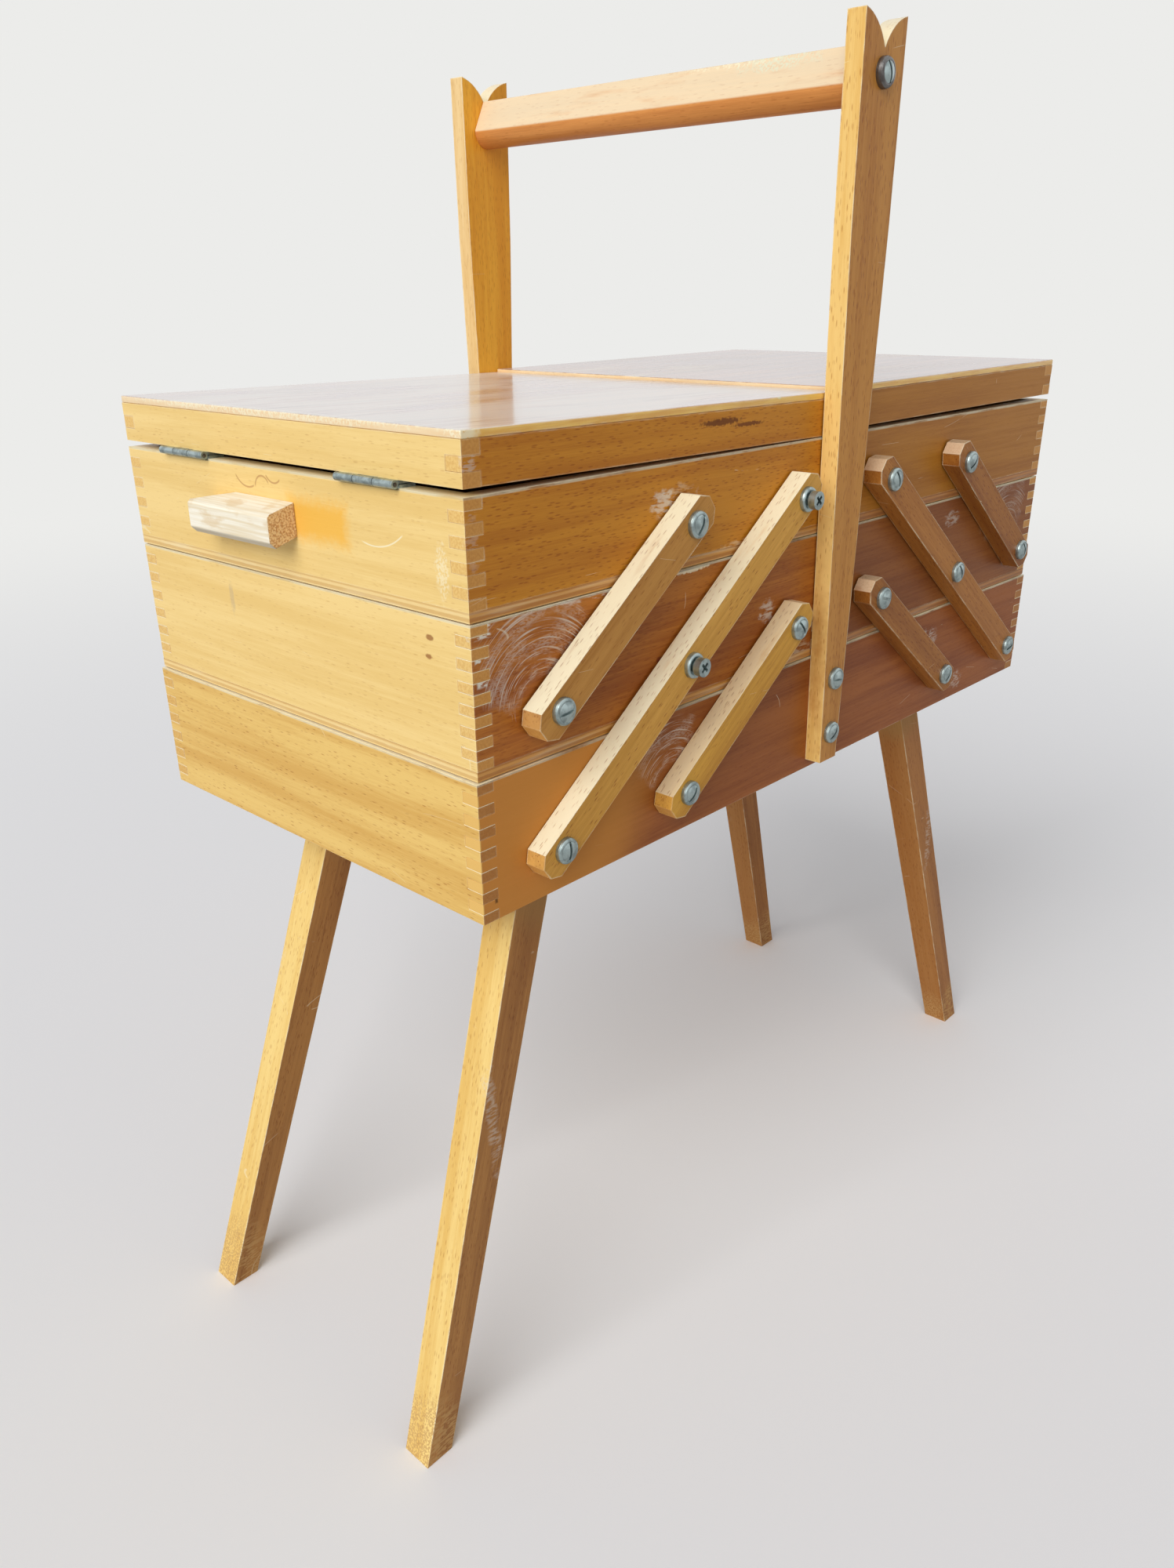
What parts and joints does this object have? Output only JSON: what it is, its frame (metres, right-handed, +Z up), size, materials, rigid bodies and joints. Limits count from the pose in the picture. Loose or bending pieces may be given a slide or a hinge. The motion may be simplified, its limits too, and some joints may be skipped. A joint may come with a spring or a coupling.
{
  "type": "cantilever sewing box",
  "caption": "Wooden cantilever sewing carrier on splayed legs, with stacked trays that swing outward on link arms, outward-opening lids and a carrying handle.",
  "frame": {"origin": "On the floor, under the middle of the carrier, midway between the front and back walls and between the left and right trays", "axes": "+X along the box to the right as seen from the front; +Y from the front face to the back; +Z up, along the handle's uprights"},
  "size_m": [0.511, 0.2474, 0.5898],
  "materials": {
    "front_wood": "varnished beech, orange brown, worn",
    "end_wood": "varnished beech, pale yellow",
    "arm_wood": "varnished beech, tan",
    "upright_wood": "varnished beech, orange brown",
    "handle_wood": "varnished beech, tan",
    "leg_wood": "varnished beech, worn at the feet",
    "pull_wood": "bare pale wood",
    "plywood": "thin plywood",
    "veneer": "glossy reddish brown veneer",
    "zinc_steel": "dull zinc plate",
    "dark_steel": "darkened steel"
  },
  "bodies": {
    "base": {"base_front": "front_wood", "base_back": "front_wood", "base_left_end": "end_wood", "base_right_end": "end_wood", "base_bottom": "plywood", "front_left_leg": "leg_wood", "back_left_leg": "leg_wood", "front_right_leg": "leg_wood", "back_right_leg": "leg_wood", "leg_screws": "dark_steel", "front_upright": "upright_wood", "back_upright": "upright_wood", "handle_bar": "handle_wood", "base_screws": "zinc_steel", "base_washers": "zinc_steel", "handle_washers": "dark_steel"},
    "left_long_arms": {"left_long_arms": "arm_wood"},
    "left_lower_arms": {"left_lower_arms": "arm_wood"},
    "left_upper_arms": {"left_upper_arms": "arm_wood"},
    "left_mid_tray": {"left_mid_sides": "front_wood", "left_mid_outer_end": "end_wood", "left_mid_inner_end": "end_wood", "left_mid_bottom": "plywood", "left_mid_screws": "zinc_steel", "left_mid_washers": "zinc_steel"},
    "left_top_tray": {"left_top_sides": "front_wood", "left_top_outer_end": "end_wood", "left_top_inner_end": "end_wood", "left_top_bottom": "plywood", "left_top_screws": "zinc_steel", "left_top_washers": "zinc_steel", "left_pull": "pull_wood", "left_tray_hinge_leaves": "zinc_steel", "left_hinge_pins": "dark_steel"},
    "left_lid": {"left_lid_sides": "front_wood", "left_lid_ends": "end_wood", "left_lid_panel": "veneer", "left_lid_hinge_leaves": "zinc_steel"},
    "right_long_arms": {"right_long_arms": "arm_wood"},
    "right_lower_arms": {"right_lower_arms": "arm_wood"},
    "right_upper_arms": {"right_upper_arms": "arm_wood"},
    "right_mid_tray": {"right_mid_sides": "front_wood", "right_mid_outer_end": "end_wood", "right_mid_inner_end": "end_wood", "right_mid_bottom": "plywood", "right_mid_screws": "zinc_steel", "right_mid_washers": "zinc_steel"},
    "right_top_tray": {"right_top_sides": "front_wood", "right_top_outer_end": "end_wood", "right_top_inner_end": "end_wood", "right_top_bottom": "plywood", "right_top_screws": "zinc_steel", "right_top_washers": "zinc_steel", "right_pull": "pull_wood", "right_tray_hinge_leaves": "zinc_steel", "right_hinge_pins": "dark_steel"},
    "right_lid": {"right_lid_sides": "front_wood", "right_lid_ends": "end_wood", "right_lid_panel": "veneer", "right_lid_hinge_leaves": "zinc_steel"}
  },
  "joints": [
    {"name": "left_swing", "type": "hinge", "parent": "base", "child": "left_long_arms", "pos_m": [-0.186, 0, 0.3025], "axis": [0, -1, 0], "range_deg": [0, 107.1]},
    {"name": "left_mid_tray_pivot", "type": "hinge", "parent": "left_long_arms", "child": "left_mid_tray", "pos_m": [-0.111, 0, 0.3579], "axis": [0, -1, 0], "range_deg": [-107.1, 0]},
    {"name": "left_top_tray_pivot", "type": "hinge", "parent": "left_long_arms", "child": "left_top_tray", "pos_m": [-0.036, 0, 0.4133], "axis": [0, -1, 0], "range_deg": [-107.1, 0]},
    {"name": "left_lower_arm_pivot", "type": "hinge", "parent": "base", "child": "left_lower_arms", "pos_m": [-0.111, 0, 0.3025], "axis": [0, -1, 0], "range_deg": [0, 107.1]},
    {"name": "left_upper_arm_pivot", "type": "hinge", "parent": "left_mid_tray", "child": "left_upper_arms", "pos_m": [-0.186, 0, 0.3579], "axis": [0, -1, 0], "range_deg": [0, 107.1]},
    {"name": "left_lid_hinge", "type": "hinge", "parent": "left_top_tray", "child": "left_lid", "pos_m": [-0.22054, 0, 0.43665], "axis": [0, -1, 0], "range_deg": [0, 150]},
    {"name": "right_swing", "type": "hinge", "parent": "base", "child": "right_long_arms", "pos_m": [0.186, 0, 0.3025], "axis": [0, 1, 0], "range_deg": [0, 107.1]},
    {"name": "right_mid_tray_pivot", "type": "hinge", "parent": "right_long_arms", "child": "right_mid_tray", "pos_m": [0.111, 0, 0.3579], "axis": [0, 1, 0], "range_deg": [-107.1, 0]},
    {"name": "right_top_tray_pivot", "type": "hinge", "parent": "right_long_arms", "child": "right_top_tray", "pos_m": [0.036, 0, 0.4133], "axis": [0, 1, 0], "range_deg": [-107.1, 0]},
    {"name": "right_lower_arm_pivot", "type": "hinge", "parent": "base", "child": "right_lower_arms", "pos_m": [0.111, 0, 0.3025], "axis": [0, 1, 0], "range_deg": [0, 107.1]},
    {"name": "right_upper_arm_pivot", "type": "hinge", "parent": "right_mid_tray", "child": "right_upper_arms", "pos_m": [0.186, 0, 0.3579], "axis": [0, 1, 0], "range_deg": [0, 107.1]},
    {"name": "right_lid_hinge", "type": "hinge", "parent": "right_top_tray", "child": "right_lid", "pos_m": [0.22054, 0, 0.43665], "axis": [0, 1, 0], "range_deg": [0, 150]}
  ],
  "couplings": [
    {"joint": "left_mid_tray_pivot", "follows": "left_swing", "ratio": -1},
    {"joint": "left_top_tray_pivot", "follows": "left_swing", "ratio": -1},
    {"joint": "left_lower_arm_pivot", "follows": "left_swing", "ratio": 1},
    {"joint": "left_upper_arm_pivot", "follows": "left_swing", "ratio": 1},
    {"joint": "right_mid_tray_pivot", "follows": "right_swing", "ratio": -1},
    {"joint": "right_top_tray_pivot", "follows": "right_swing", "ratio": -1},
    {"joint": "right_lower_arm_pivot", "follows": "right_swing", "ratio": 1},
    {"joint": "right_upper_arm_pivot", "follows": "right_swing", "ratio": 1}
  ]
}
